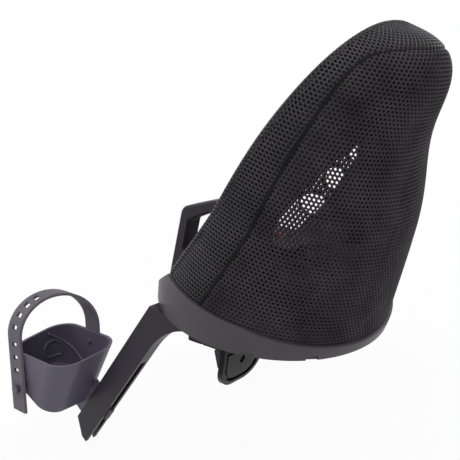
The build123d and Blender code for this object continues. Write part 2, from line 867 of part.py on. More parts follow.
parts = {
    "base_tub": base_tub(),
    "back_frame": back_frame(),
    "mesh_back_panel": mesh_back_panel(),
    "mesh_side_panel": mesh_side_panel(),
    "mesh_liner": mesh_liner(),
    "seat_cushion": seat_cushion(),
    "grab_handle": grab_handle(),
    "crotch_strap": crotch_strap(),
    "buckle_body": buckle_body(),
    "buckle_button": buckle_button(),
    "mount_block": mount_block(),
    "clamp_jaw": clamp_jaw(),
    "clamp_bolts": Compound(children=clamp_bolts()),
    "clamp_nuts": Compound(children=clamp_nuts()),
    "lever_pin": lever_pin(),
    "release_lever": release_lever(),
    "lever_pad": lever_pad(),
}
left_pieces = (leg, slide_block, slide_screw, adjuster_button, foot_cup, foot_strap, shoulder_strap,
               shoulder_pad, strap_latch)
for piece in left_pieces:
    for side, shape in both_sides(piece()).items():
        parts[f"{piece.__name__}_{side}"] = shape

os.makedirs("parts", exist_ok=True)
for name, shape in parts.items():
    export_step(shape, f"parts/{name}.step")
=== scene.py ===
"""A front-mounted child bike seat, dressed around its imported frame.

Metres. The child faces -Y, its left is +X and +Z is up; the origin is the mouth of the post socket.
"""

import bmesh
import bpy
import numpy as np
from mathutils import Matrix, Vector


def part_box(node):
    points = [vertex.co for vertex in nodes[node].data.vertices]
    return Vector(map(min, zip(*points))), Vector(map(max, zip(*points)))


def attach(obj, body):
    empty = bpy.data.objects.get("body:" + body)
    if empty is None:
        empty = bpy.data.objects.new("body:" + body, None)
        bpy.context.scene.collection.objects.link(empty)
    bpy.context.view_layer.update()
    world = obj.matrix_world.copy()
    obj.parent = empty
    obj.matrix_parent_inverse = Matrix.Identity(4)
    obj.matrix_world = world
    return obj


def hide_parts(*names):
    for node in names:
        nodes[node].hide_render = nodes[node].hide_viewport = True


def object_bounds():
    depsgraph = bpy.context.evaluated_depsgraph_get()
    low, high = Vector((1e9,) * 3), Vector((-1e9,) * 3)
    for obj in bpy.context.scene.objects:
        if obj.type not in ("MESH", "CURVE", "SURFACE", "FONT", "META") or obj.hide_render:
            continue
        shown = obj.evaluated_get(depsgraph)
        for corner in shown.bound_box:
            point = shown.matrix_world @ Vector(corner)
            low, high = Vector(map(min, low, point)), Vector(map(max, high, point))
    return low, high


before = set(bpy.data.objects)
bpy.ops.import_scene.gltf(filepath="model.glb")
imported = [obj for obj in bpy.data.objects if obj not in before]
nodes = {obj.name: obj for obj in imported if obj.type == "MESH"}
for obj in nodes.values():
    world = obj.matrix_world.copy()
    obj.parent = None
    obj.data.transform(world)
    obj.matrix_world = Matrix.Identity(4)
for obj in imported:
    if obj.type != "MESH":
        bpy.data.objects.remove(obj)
cad_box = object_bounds()

# The studio: a pale seamless floor under soft boxes, seen by a camera from behind the seat's left. The floor and
# the world show white to the camera and in gloss, and the world lights dull surfaces only weakly.
aim = Vector((0.0, 0.020, 0.140))
azimuth, elevation, distance = np.radians(130.0), np.radians(15.0), 0.90
toward = Vector((np.sin(azimuth) * np.cos(elevation), -np.cos(azimuth) * np.cos(elevation), np.sin(elevation)))
camera = bpy.data.objects.new("camera", bpy.data.cameras.new("camera"))
camera.data.sensor_width = 36.0
camera.data.lens = 60.6
camera.location = aim + distance * toward
camera.rotation_euler = toward.to_track_quat("Z", "Y").to_euler()
bpy.context.scene.collection.objects.link(camera)
bpy.context.scene.camera = camera
bpy.context.scene.view_settings.view_transform = "Standard"


def wired(tree, kind, values=None, **links):
    """A new shader node with its properties or unlinked sockets set, and its named sockets linked."""
    node = tree.nodes.new(kind)
    for key, value in (values or {}).items():
        if isinstance(key, int) or key in node.inputs:
            node.inputs[key].default_value = value
        else:
            setattr(node, key, value)
    for key, source in links.items():
        tree.links.new(source, node.inputs[key.replace("_", " ")])
    return node


def maths(tree, operation, first, second):
    """The output of a Math node on two values, each a socket or a number."""
    node = wired(tree, "ShaderNodeMath", {"operation": operation})
    for socket, value in zip(node.inputs, (first, second)):
        if isinstance(value, bpy.types.NodeSocket):
            tree.links.new(value, socket)
        else:
            socket.default_value = value
    return node.outputs[0]


def new_material(name):
    """An empty node material with its output, as (material, tree, output)."""
    material = bpy.data.materials.new(name)
    material.use_nodes = True
    material.node_tree.nodes.clear()
    return material, material.node_tree, material.node_tree.nodes.new("ShaderNodeOutputMaterial")


def seen_ray(tree):
    """1 for rays that show the background itself: from the camera, by gloss or through glass."""
    path = tree.nodes.new("ShaderNodeLightPath")
    sharp = maths(tree, "MAXIMUM", path.outputs["Is Camera Ray"], path.outputs["Is Glossy Ray"])
    return maths(tree, "MAXIMUM", sharp, path.outputs["Is Transmission Ray"])


world = bpy.data.worlds.new("studio")
bpy.context.scene.world = world
world.use_nodes = True
tree = world.node_tree
tree.nodes.clear()
fill = wired(tree, "ShaderNodeBackground", {"Color": (0.95, 0.97, 1.0, 1), "Strength": 0.32})
shown = wired(tree, "ShaderNodeBackground", {"Color": (1, 1, 1, 1), "Strength": 1.0})
sky = wired(tree, "ShaderNodeMixShader", Fac=seen_ray(tree))
tree.links.new(fill.outputs[0], sky.inputs[1])
tree.links.new(shown.outputs[0], sky.inputs[2])
tree.links.new(sky.outputs[0], tree.nodes.new("ShaderNodeOutputWorld").inputs["Surface"])

floor_height, floor_reach = cad_box[0][2] - 0.004, 30.0
corners = [(x, y, floor_height) for x, y in ((-1, -1), (1, -1), (1, 1), (-1, 1))]
floor_mesh = bpy.data.meshes.new("floor")
floor_mesh.from_pydata([(x * floor_reach, y * floor_reach, z) for x, y, z in corners], [], [(0, 1, 2, 3)])
floor = bpy.data.objects.new("floor", floor_mesh)
bpy.context.scene.collection.objects.link(floor)
paper, tree, output = new_material("pale_paper")
matt = wired(tree, "ShaderNodeBsdfDiffuse", {"Color": (0.92, 0.92, 0.92, 1)})
white = wired(tree, "ShaderNodeEmission", {"Color": (1, 1, 1, 1), "Strength": 1.0})
spot = tree.nodes.new("ShaderNodeTexCoord")
away = wired(tree, "ShaderNodeVectorMath", {"operation": "LENGTH"})
tree.links.new(spot.outputs["Object"], away.inputs[0])
fade = wired(tree, "ShaderNodeMapRange", {"From Min": 0.4, "From Max": 1.5, "To Min": 0.93, "To Max": 1.0},
             Value=away.outputs["Value"])
mixed = wired(tree, "ShaderNodeMixShader", Fac=maths(tree, "MULTIPLY", seen_ray(tree), fade.outputs["Result"]))
tree.links.new(matt.outputs[0], mixed.inputs[1])
tree.links.new(white.outputs[0], mixed.inputs[2])
tree.links.new(mixed.outputs[0], output.inputs["Surface"])
floor_mesh.materials.append(paper)

for name, place, size, power in (("key", (1.3, 0.7, 1.5), 1.2, 16.0), ("side", (0.9, -1.4, 0.9), 1.0, 9.0),
                                 ("back", (-1.3, 0.9, 1.2), 1.2, 8.0), ("top", (0.1, 0.2, 1.9), 1.4, 10.0)):
    lamp = bpy.data.lights.new(name, "AREA")
    lamp.size = size
    lamp.energy = power
    box = bpy.data.objects.new(name, lamp)
    box.location = place
    box.rotation_euler = (Vector(place) - aim).to_track_quat("Z", "Y").to_euler()
    bpy.context.scene.collection.objects.link(box)


# The base tub under the bucket: injection moulded in glass-filled nylon, satin, with a fine spark-eroded grain
# that rubs a little paler where it is handled. Its edges are broken by a small radius in the mould.
def new_group(name, inputs, outputs):
    """An empty shader node group with float or colour sockets, as (group, input node, output node)."""
    group = bpy.data.node_groups.new(name, "ShaderNodeTree")
    for socket, kind, value in inputs:
        made = group.interface.new_socket(socket, in_out="INPUT", socket_type=kind)
        made.default_value = value
    for socket, kind in outputs:
        group.interface.new_socket(socket, in_out="OUTPUT", socket_type=kind)
    return group, group.nodes.new("NodeGroupInput"), group.nodes.new("NodeGroupOutput")


moulded_skin, given, made = new_group(
    "moulded_skin",
    [("Colour", "NodeSocketColor", (0.1, 0.1, 0.1, 1)), ("Grain", "NodeSocketFloat", 900.0),
     ("Rubbed", "NodeSocketFloat", 0.25), ("Dull", "NodeSocketFloat", 0.5)],
    [("Colour", "NodeSocketColor"), ("Roughness", "NodeSocketFloat"), ("Height", "NodeSocketFloat")])
place = moulded_skin.nodes.new("ShaderNodeTexCoord")
grain = wired(moulded_skin, "ShaderNodeTexNoise", {"Detail": 3.0}, Vector=place.outputs["Object"],
              Scale=given.outputs["Grain"])
cloud = wired(moulded_skin, "ShaderNodeTexNoise", {"Scale": 22.0, "Detail": 5.0, "Roughness": 0.6},
              Vector=place.outputs["Object"])
scuff = wired(moulded_skin, "ShaderNodeTexNoise",
              {"Scale": 70.0, "Detail": 8.0, "Roughness": 0.75, "Distortion": 1.5},
              Vector=place.outputs["Object"])
rubbed = wired(moulded_skin, "ShaderNodeMapRange", {"From Min": 0.52, "From Max": 0.78},
               Value=scuff.outputs["Fac"])
worn = maths(moulded_skin, "MULTIPLY", rubbed.outputs["Result"], given.outputs["Rubbed"])
shade = wired(moulded_skin, "ShaderNodeMapRange", {"To Min": 0.86, "To Max": 1.14}, Value=cloud.outputs["Fac"])
toned = wired(moulded_skin, "ShaderNodeVectorMath", {"operation": "SCALE"}, Scale=shade.outputs["Result"])
moulded_skin.links.new(given.outputs["Colour"], toned.inputs[0])
paler = wired(moulded_skin, "ShaderNodeVectorMath", {"operation": "MULTIPLY_ADD", 1: (1.5,) * 3, 2: (0.02,) * 3})
moulded_skin.links.new(toned.outputs[0], paler.inputs[0])
skin = wired(moulded_skin, "ShaderNodeMix", {"data_type": "RGBA"})
moulded_skin.links.new(worn, skin.inputs[0])
moulded_skin.links.new(toned.outputs[0], skin.inputs[6])
moulded_skin.links.new(paler.outputs[0], skin.inputs[7])
moulded_skin.links.new(skin.outputs[2], made.inputs["Colour"])
uneven = wired(moulded_skin, "ShaderNodeMapRange", {"To Min": 0.08, "To Max": -0.08}, Value=cloud.outputs["Fac"])
dull = maths(moulded_skin, "ADD", given.outputs["Dull"], uneven.outputs["Result"])
moulded_skin.links.new(dull, made.inputs["Roughness"])
moulded_skin.links.new(grain.outputs["Fac"], made.inputs["Height"])
edge_radius = 0.0009


def moulded(name, colour, dull, rubbed, grain_scale=1500.0, grain_depth=0.0003, gloss=0.3):
    """A moulded finish: the skin group's colour and roughness, its grain as a bump, and softly broken edges."""
    material, tree, output = new_material(name)
    skin = wired(tree, "ShaderNodeGroup", {"node_tree": moulded_skin})
    for socket, value in (("Colour", (*colour, 1)), ("Grain", grain_scale), ("Rubbed", rubbed), ("Dull", dull)):
        skin.inputs[socket].default_value = value
    edge = wired(tree, "ShaderNodeBevel", {"samples": 6, "Radius": edge_radius})
    bump = wired(tree, "ShaderNodeBump", {"Strength": 0.3, "Distance": grain_depth},
                 Height=skin.outputs["Height"], Normal=edge.outputs["Normal"])
    shader = wired(tree, "ShaderNodeBsdfPrincipled", {"Specular IOR Level": gloss},
                   Base_Color=skin.outputs["Colour"], Roughness=skin.outputs["Roughness"],
                   Normal=bump.outputs["Normal"])
    tree.links.new(shader.outputs[0], output.inputs["Surface"])
    return material


def dress(material, *names):
    """Puts a material into the slots of CAD nodes."""
    for name in names:
        mesh = nodes[name].data
        mesh.materials.clear()
        mesh.materials.append(material)


dress(moulded("base_plastic", (0.055, 0.0455, 0.053), 0.42, 0.12), "base_tub")

# The back frame: an arch moulded in black plastic with a large window, which stands on the base and carries
# the meshes on both its sides. Little of it shows, but it lies dark behind the holes of the outer mesh.
dress(moulded("frame_plastic", (0.008, 0.008, 0.009), 0.6, 0.1, gloss=0.25), "back_frame")

# The legs, their slide blocks and the adjuster tabs: satin mouldings. Each leg is a channel with a long slot, in
# which a block runs with the foot cup, and a paler tab locks it.
sides = ("left", "right")
leg_plastic = moulded("leg_plastic", (0.019, 0.016, 0.0235), 0.38, 0.15, gloss=0.22)
dress(leg_plastic, *(f"leg_{side}" for side in sides))
dress(moulded("slide_plastic", (0.012, 0.011, 0.013), 0.5, 0.15), *(f"slide_block_{side}" for side in sides))
dress(moulded("tab_plastic", (0.08, 0.076, 0.09), 0.4, 0.2), *(f"adjuster_button_{side}" for side in sides))

# The foot cups, moulded in a lighter grey with a D-shaped ring and a slanted rib on the wall by the toes. Their
# straps of soft moulded rubber are riveted to the inner wall and hook over a stud on the outer one.
cup_plastic = moulded("cup_plastic", (0.085, 0.077, 0.112), 0.4, 0.2)
dress(cup_plastic, *(f"foot_cup_{side}" for side in sides))
rubber = moulded("rubber", (0.105, 0.096, 0.118), 0.6, 0.25, grain_scale=900.0, grain_depth=0.0004)
dress(rubber, *(f"foot_strap_{side}" for side in sides))


def new_piece(name, points, faces, material, body, slot, smooth=True):
    """A mesh piece at the origin that rides on a body and takes the given material. The slot is not used."""
    mesh = bpy.data.meshes.new(name)
    mesh.from_pydata(points.reshape(-1, 3), [], faces.tolist() if isinstance(faces, np.ndarray) else faces)
    mesh.polygons.foreach_set("use_smooth", np.full(len(mesh.polygons), smooth))
    mesh.materials.append(material)
    mesh.update()
    piece = bpy.data.objects.new(name, mesh)
    bpy.context.scene.collection.objects.link(piece)
    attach(piece, body)
    return piece


def frames(path, up):
    """Unit directions across and up at each point of a path, square to its tangent."""
    along = np.gradient(path, axis=0)
    along /= np.linalg.norm(along, axis=1, keepdims=True)
    up = up - (up * along).sum(1, keepdims=True) * along
    up = up / np.linalg.norm(up, axis=1, keepdims=True)
    return np.cross(along, up), up


def sweep(path, up, profile):
    """A closed profile of (across, up) points carried along a path, with flat ends. Gives points and faces."""
    across, up = frames(path, up)
    points = path[:, None] + profile[None, :, :1] * across[:, None] + profile[None, :, 1:] * up[:, None]
    count, around = points.shape[:2]
    index = np.arange(count * around).reshape(count, around)
    after = np.roll(index, -1, 1)
    quads = np.stack((index[:-1], index[1:], after[1:], after[:-1]), -1).reshape(-1, 4)
    return points.reshape(-1, 3), [*quads.tolist(), index[0].tolist(), index[-1][::-1].tolist()]


def oval(across, up, count=24, power=2.0):
    """A closed outline by a power law: round at 2 and nearly a rectangle at high powers."""
    turn = np.linspace(0, 2 * np.pi, count, endpoint=False)
    ways = ((across, np.cos(turn)), (up, np.sin(turn)))
    return np.stack([half * np.sign(wave) * np.abs(wave) ** (2 / power) for half, wave in ways], -1)


def on_wall(cup, starts, ways):
    """Where level lines from inside a foot cup meet its wall, and which way the wall faces there."""
    hits = [cup.ray_cast(Vector(start), Vector(way)) for start, way in zip(starts, ways)]
    return np.array([hit[1] for hit in hits]), np.array([hit[2] for hit in hits])


ring_half, ring_flat, rib_half, rib_rise = 0.012, -0.008, 0.0021, 0.0014
cup_middle, upward = np.array((0.149, -0.115, -0.016)), np.array((0.0, 0.0, 1.0))
toes, beside = np.array((-0.43, -0.90, 0.0)), np.array((0.90, -0.43, 0.0))
ring_turn = np.linspace(0, 2 * np.pi, 49)
ring_level = np.maximum(ring_half * np.sin(ring_turn), ring_flat)
ring = np.outer(ring_half * np.cos(ring_turn), beside) + np.outer(ring_level, upward)
rib_swing, rib_level = np.radians(np.linspace(-108, -172, 33)), np.linspace(0.022, -0.012, 33)
rib_way = np.stack((np.cos(rib_swing), np.sin(rib_swing), np.zeros(len(rib_swing))), -1)
reliefs = (("ring", cup_middle + ring, np.tile(toes, (len(ring), 1))),
           ("rib", cup_middle + np.outer(rib_level, upward), rib_way))
for name, side in zip(sides, (1, -1)):
    hand = (side, 1, 1)
    for kind, starts, ways in reliefs:
        lie = on_wall(nodes[f"foot_cup_{name}"], starts * hand, ways * hand)
        raised = sweep(*lie, oval(rib_half, rib_rise, 12))
        new_piece(f"cup_{kind}_{name}", *raised, cup_plastic, f"footrest_{name}", "cup")

# The grab handle: one closed loop for the child to hold, moulded in the legs' plastic, seated on the base's
# tongue and screwed to it from below.
dress(leg_plastic, "grab_handle")

# The post clamp: two black moulded jaws with zinc-plated steel hardware and a paddle lever with a soft thumb pad.
# Four pan-head screws with a round drive recess hold its roof up against the tongue.
dress(moulded("clamp_plastic", (0.012, 0.011, 0.013), 0.5, 0.15), "mount_block", "clamp_jaw")
dress(moulded("lever_plastic", (0.006, 0.0055, 0.006), 0.3, 0.12, gloss=0.14), "release_lever")
dress(moulded("thumb_rubber", (0.030, 0.027, 0.030), 0.5, 0.2, grain_scale=900.0, gloss=0.2), "lever_pad")
steel, tree, output = new_material("plated_steel")
place = tree.nodes.new("ShaderNodeTexCoord")
brushed = wired(tree, "ShaderNodeTexNoise", {"Scale": 600.0, "Detail": 4.0}, Vector=place.outputs["Object"])
gloss = wired(tree, "ShaderNodeMapRange", {"To Min": 0.22, "To Max": 0.42}, Value=brushed.outputs["Fac"])
tint = wired(tree, "ShaderNodeValToRGB", Fac=brushed.outputs["Fac"])
tint.color_ramp.elements[0].color = (0.42, 0.42, 0.43, 1)
tint.color_ramp.elements[1].color = (0.62, 0.62, 0.61, 1)
shader = wired(tree, "ShaderNodeBsdfPrincipled", {"Metallic": 1.0}, Base_Color=tint.outputs["Color"],
               Roughness=gloss.outputs["Result"])
tree.links.new(shader.outputs[0], output.inputs["Surface"])
dress(steel, "clamp_bolts", "clamp_nuts", "lever_pin", *(f"slide_screw_{side}" for side in sides))
screw_profile = np.array(((0.0016, 0.0012), (0.0016, 0.0026), (0.0028, 0.0026), (0.0037, 0.0018), (0.0040, 0.0)))
screw_x, screw_y, roof_bottom = 0.034, 0.017, 0.044


def turned(profile, place, count=24):
    """A profile of (radius, drop) points turned about a vertical line below a place, with flat ends. Gives points
    and faces."""
    turn = np.linspace(0, 2 * np.pi, count, endpoint=False)
    radius, drop = profile.T
    x, y = np.outer(np.cos(turn), radius), np.outer(np.sin(turn), radius)
    points = np.stack((x, y, np.tile(-drop, (count, 1))), -1)
    index = np.arange(count * len(profile)).reshape(count, -1)
    after = np.roll(index, -1, 0)
    quads = np.stack((index[:, :-1], after[:, :-1], after[:, 1:], index[:, 1:]), -1).reshape(-1, 4)
    return points.reshape(-1, 3) + place, [*quads.tolist(), index[::-1, 0].tolist(), index[:, -1].tolist()]


for number, (x, y) in enumerate(((1, 1), (1, -1), (-1, 1), (-1, -1)), 1):
    head = turned(screw_profile, (x * screw_x, y * screw_y, roof_bottom))
    new_piece(f"clamp_screw_{number}", *head, steel, "seat", "steel", smooth=False)

# The outer mesh of the back: black open-hole knit, cut to one panel, stretched over the frame and pulled down
# into the seam beside the rim. Each hole is a ring of yarn that rises to a rounded crest between the holes.
lean = np.radians(18.0)
seat_y, seat_z = 0.194, 0.051
bucket_top, bucket_middle = 0.317, -0.110
half_width, half_depth = 0.143, 0.122
side_taper, back_taper, dome_start = 0.155, 0.03, 0.110
neck_hollow, neck_height, neck_reach = 0.018, 0.220, 0.060
width_power, depth_power = 2.35, 6.0
foot_back, foot_rise = (-0.24, -0.060, 0.040), (0.022, 0.022, 0.009)
rim_points = np.array(((-0.166, 0.018), (-0.136, 0.098), (-0.104, 0.213), (-0.078, 0.304), (-0.067, 0.332)))
seam_points = np.array(((-0.112, 0.010), (-0.088, 0.108), (-0.073, 0.210), (-0.063, 0.278), (-0.048, 0.298),
                        (-0.008, 0.312)))


def leaned(points):
    """Points of the leaning seat (x across, y back, h up its axis), turned by the recline and set in the part."""
    x, y, h = np.moveaxis(points, -1, 0)
    back = seat_y + y * np.cos(lean) + h * np.sin(lean)
    return np.stack((x, back, seat_z - y * np.sin(lean) + h * np.cos(lean)), -1)


def smooth_line(points, count=240):
    """Points of a cubic through the given ones; its slope at each is half the step between its neighbours."""
    ends = np.vstack((2 * points[0] - points[1], points, 2 * points[-1] - points[-2]))
    place = np.linspace(0, len(points) - 1, count)
    start = np.minimum(place.astype(int), len(points) - 2)
    t = (place - start)[:, None]
    p0, p1, p2, p3 = (ends[start + k] for k in range(4))
    square, cube = 2 * p0 - 5 * p1 + 4 * p2 - p3, 3 * p1 - p0 - 3 * p2 + p3
    return p1 + 0.5 * ((p2 - p0) * t + square * t ** 2 + cube * t ** 3)


rim_line, seam_line = smooth_line(rim_points), smooth_line(seam_points)


def bucket_sizes(h, inset):
    """Half width and half depth at a height: straight tapers, the depth less a bell-shaped hollow behind the
    neck, that both close above dome_start by a power law."""
    rise = np.clip((h - dome_start) / (bucket_top - inset - dome_start), 0, 1)
    wide = half_width - side_taper * np.clip(h, 0, dome_start) - inset
    hollow = neck_hollow * np.exp(-((h - neck_height) / neck_reach) ** 2)
    deep = half_depth - back_taper * np.maximum(h, 0) - hollow - inset
    return (wide * (1 - rise ** width_power) ** (1 / width_power),
            deep * (1 - rise ** depth_power) ** (1 / depth_power))


def bucket_at(s, t, inset):
    """The bucket's point that lies s round its ellipse from the rear middle and t up its wall, where the length
    up the wall is shared between the rear's and the side's by the squared cosine of the angle; solved by
    steps."""
    probe = 1e-4
    levels = np.linspace(0, bucket_top - inset, 900)
    wide, deep = bucket_sizes(levels, inset)
    rear = np.concatenate(([0], np.cumsum(np.hypot(np.diff(deep), np.diff(levels)))))
    side = np.concatenate(([0], np.cumsum(np.hypot(np.diff(wide), np.diff(levels)))))
    turn = np.linspace(0, np.pi, 129)
    middle = (turn[1:] + turn[:-1]) / 2
    h = np.interp(t, rear, levels)
    for step in range(6):
        a, b = bucket_sizes(h, inset)
        arcs = np.sqrt((a[:, None] * np.cos(middle)) ** 2 + (b[:, None] * np.sin(middle)) ** 2) * np.diff(turn)
        arcs = np.concatenate((np.zeros((len(h), 1)), np.cumsum(arcs, axis=1)), axis=1)
        index = np.clip((arcs <= np.abs(s)[:, None]).sum(1) - 1, 0, len(turn) - 2)
        low, high = (np.take_along_axis(arcs, index[:, None] + k, 1)[:, 0] for k in (0, 1))
        angle = turn[index] + np.clip((np.abs(s) - low) / np.maximum(high - low, 1e-9), 0, 1) * turn[1]
        share = np.cos(angle) ** 2
        length, ahead = (share * np.interp(h + e, levels, rear) + (1 - share) * np.interp(h + e, levels, side)
                         for e in (0, probe))
        slope = np.maximum((ahead - length) / probe, 1.0)
        h = np.clip(h + (t - length) / slope, 0, bucket_top - inset - 1e-6)
    a, b = bucket_sizes(h, inset)
    return np.stack((np.sign(s) * a * np.sin(angle), bucket_middle + b * np.cos(angle), h), -1)


def bucket_normal(spot, inset):
    """Outward normals of the bucket: the gradient of (x/a)^2 + (y/b)^2, with a and b falling as it rises."""
    step = 1e-4
    level = np.minimum(spot[:, 2], bucket_top - inset - 2 * step)
    (a, b), (a2, b2) = bucket_sizes(level, inset), bucket_sizes(level + step, inset)
    u, v = spot[:, 0] / a, (spot[:, 1] - bucket_middle) / b
    fall = -(u * u * (a2 - a) / a + v * v * (b2 - b) / b) / step
    normal = np.stack((u / a, v / b, fall), -1)
    return normal / np.linalg.norm(normal, axis=1, keepdims=True)


def foot_height(y):
    """Height of the line on which the bucket stands on the base."""
    return np.interp(y, foot_back, foot_rise)


def behind(line, spot):
    """How far points of the leaning seat lie behind a line of its side view."""
    return spot[:, 1] - np.interp(spot[:, 2], line[:, 1], line[:, 0])


def open_knit(wide, tall, pitch, hole, yarn, lay, keep, mirrored=False):
    """Hexagon cells in staggered rows on a flat cloth, laid on a surface: each is a shared outline at the crest,
    a middle ring and a hole's edge sunk by the yarn's height. Faces of a cloth that is laid mirrored are turned
    over. Gives points, faces and the cloth's net area."""
    radius = pitch / np.sqrt(3)
    reach = int(wide / 2 / pitch)
    row, column = np.meshgrid(np.arange(int(tall / (1.5 * radius))), np.arange(-reach, reach + 1))
    centre = np.stack(((column + 0.5 * (row % 2)) * pitch, row * 1.5 * radius), -1).reshape(-1, 2)
    centre = centre[keep(lay(centre, np.zeros(len(centre))))]
    turn = np.radians(30 + 60 * np.arange(6))
    ray = np.stack((np.cos(turn), np.sin(turn)), -1) * radius
    corner = (centre[:, None] + ray).reshape(-1, 2)
    key = np.rint(corner / (pitch / 2, radius / 2)).astype(int)
    _, first, where = np.unique(key, axis=0, return_index=True, return_inverse=True)
    where = where.reshape(-1, 6)
    rings = [(centre[:, None] + ray * share).reshape(-1, 2) for share in ((1 + 2 * hole) / 3, hole)]
    flat = np.concatenate((corner[first], *rings))
    sink = np.repeat((0.0, middle_sink * yarn, yarn), (len(first), len(corner), len(corner)))
    own = len(first) + np.arange(len(corner)).reshape(-1, 6)
    loops = (where, own, own + len(corner))
    faces = np.concatenate([np.stack((a, np.roll(a, -1, 1), np.roll(b, -1, 1), b), -1).reshape(-1, 4)
                            for a, b in zip(loops, loops[1:])])
    area = len(centre) * 1.5 * np.sqrt(3) * radius ** 2 * (1 - hole ** 2)
    return lay(flat, sink), faces[:, ::-1] if mirrored else faces, area


def knit_finish(name, colour, painted_glint, dull, gloss):
    """Dull filament yarn: fibres as fine noise along the knit, with painted glints that run up to a paler glint
    colour in random patches, and a soft sheen.
    """
    material, tree, output = new_material(name)
    place = tree.nodes.new("ShaderNodeTexCoord")
    fibre = wired(tree, "ShaderNodeTexNoise", {"Scale": 1400.0, "Detail": 3.0}, Vector=place.outputs["Object"])
    batch = wired(tree, "ShaderNodeTexNoise", {"Scale": 30.0, "Detail": 2.0}, Vector=place.outputs["Object"])
    both = maths(tree, "MULTIPLY", fibre.outputs["Fac"], batch.outputs["Fac"])
    ramp = wired(tree, "ShaderNodeValToRGB", Fac=both)
    # Painted highlight: where the noise is high the yarn takes the pale glint colour, which paints glints on the
    # fibres.
    ramp.color_ramp.elements[0].position = 0.12
    ramp.color_ramp.elements[0].color = (*(0.7 * c for c in colour), 1)
    ramp.color_ramp.elements[1].position = 0.4
    ramp.color_ramp.elements[1].color = (*painted_glint, 1)
    rough = wired(tree, "ShaderNodeMapRange", {"To Min": dull - 0.1, "To Max": dull + 0.1},
                  Value=fibre.outputs["Fac"])
    bump = wired(tree, "ShaderNodeBump", {"Strength": 0.4, "Distance": 0.0003}, Height=fibre.outputs["Fac"])
    shader = wired(tree, "ShaderNodeBsdfPrincipled",
                   {"Sheen Weight": 0.05, "Sheen Roughness": 0.4, "Specular IOR Level": gloss},
                   Base_Color=ramp.outputs["Color"], Roughness=rough.outputs["Result"],
                   Normal=bump.outputs["Normal"])
    tree.links.new(shader.outputs[0], output.inputs["Surface"])
    return material


knit_pitch, knit_hole, knit_yarn, middle_sink = 0.0045, 0.49, 0.0011, 0.35
seam_dip, seam_reach, tuck = 0.0013, 0.0045, 0.004


def on_outside(flat, sink):
    """Flat cloth laid on the bucket's outside, sunk by its yarn and by a bell-shaped dip along the seam."""
    spot = bucket_at(flat[:, 0], flat[:, 1], 0.0)
    dip = seam_dip * np.exp(-(behind(seam_line, spot) / seam_reach) ** 2)
    return spot - (sink + dip)[:, None] * bucket_normal(spot, 0.0)


def above_foot(spot):
    """Whether points stand above the base's upper edge, less the strip that is tucked behind it."""
    return spot[:, 2] > foot_height(spot[:, 1]) - tuck


outer_knit = knit_finish("outer_knit", (0.0175, 0.014, 0.0175), (0.046, 0.037, 0.046), 0.6, 0.15)
cloth_wide, cloth_tall, seam_lap = 0.46, 0.40, 0.0005
points, faces, area = open_knit(
    cloth_wide, cloth_tall, knit_pitch, knit_hole, knit_yarn, on_outside,
    lambda spot: (behind(seam_line, spot) > -seam_lap) & above_foot(spot), mirrored=True)
back_mesh = new_piece("back_mesh", leaned(points), faces, outer_knit, "seat", "mesh")
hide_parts("mesh_back_panel")

# The mesh along the rim: a band of the same knit in a darker, smoother yarn that glints, by its gloss and by
# the painted glints of its finish, sewn to the back panel at the seam and stretched to the rolled edge.
rim_knit = knit_finish("rim_knit", (0.004, 0.0032, 0.0045), (0.022, 0.018, 0.025), 0.24, 0.26)
band_wide, band_tall, turn_over, rim_hole = 0.66, 0.46, 0.002, 0.52


def in_band(spot):
    """Whether points lie between the seam and the line where the band turns over the cord."""
    return (behind(seam_line, spot) < seam_lap) & (behind(rim_line, spot) > turn_over) & above_foot(spot)


points, faces, area = open_knit(band_wide, band_tall, knit_pitch, rim_hole, knit_yarn, on_outside, in_band,
                                mirrored=True)
rim_mesh = new_piece("rim_mesh", leaned(points), faces, rim_knit, "seat", "mesh")
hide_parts("mesh_side_panel")


# The rolled edge: the rim's knit turned right round a foam cord that is sewn along the frame's edge, in rows of
# cells that close on themselves.
def around(line, shift, inset, count=600):
    """Evenly spaced points where the bucket meets a line of its side view, from the left foot over the top to the
    right foot: x follows from the ellipse at each height, which is sampled more closely near the top."""
    levels = np.linspace(0, bucket_top - inset - 1e-5, 4000)
    y = np.interp(levels, line[:, 1], line[:, 0]) + shift
    a, b = bucket_sizes(levels, inset)
    inside = 1 - ((y - bucket_middle) / b) ** 2
    fits = (inside > 0) & (levels > foot_height(y) - tuck)
    half = np.stack((a * np.sqrt(np.maximum(inside, 0)), y, levels), -1)[fits]
    half = np.concatenate((half, half[-1:] * (0, 1, 1)))
    whole = np.concatenate((half, half[-2::-1] * (-1, 1, 1)))
    length = np.concatenate(([0], np.cumsum(np.linalg.norm(np.diff(whole, axis=0), axis=1))))
    even = np.linspace(0, length[-1], count)
    return np.stack([np.interp(even, length, whole[:, k]) for k in range(3)], -1)


roll_inset, roll_half, cord_half, roll_rows = 0.0057, 0.0058, 0.0044, 10
rim_path = around(rim_line, turn_over, roll_inset)
rim_up = bucket_normal(rim_path, roll_inset)
rim_length = np.linalg.norm(np.diff(rim_path, axis=0), axis=1).sum()
row_step = 1.5 * knit_pitch / np.sqrt(3)
rim_girth = roll_rows * row_step


def on_roll(flat, sink):
    """Flat cloth wrapped round the rim's cord, with its join on the side of the frame."""
    place = (flat[:, 0] / rim_length + 0.5) * (len(rim_path) - 1)
    across, up = frames(rim_path, rim_up)
    spot, across, up = (np.stack([np.interp(place, np.arange(len(rim_path)), values[:, k]) for k in range(3)], -1)
                        for values in (rim_path, across, up))
    angle = 2 * np.pi * flat[:, 1] / rim_girth
    radius = (roll_half - sink)[:, None]
    return spot + radius * (np.cos(angle)[:, None] * across + np.sin(angle)[:, None] * up)


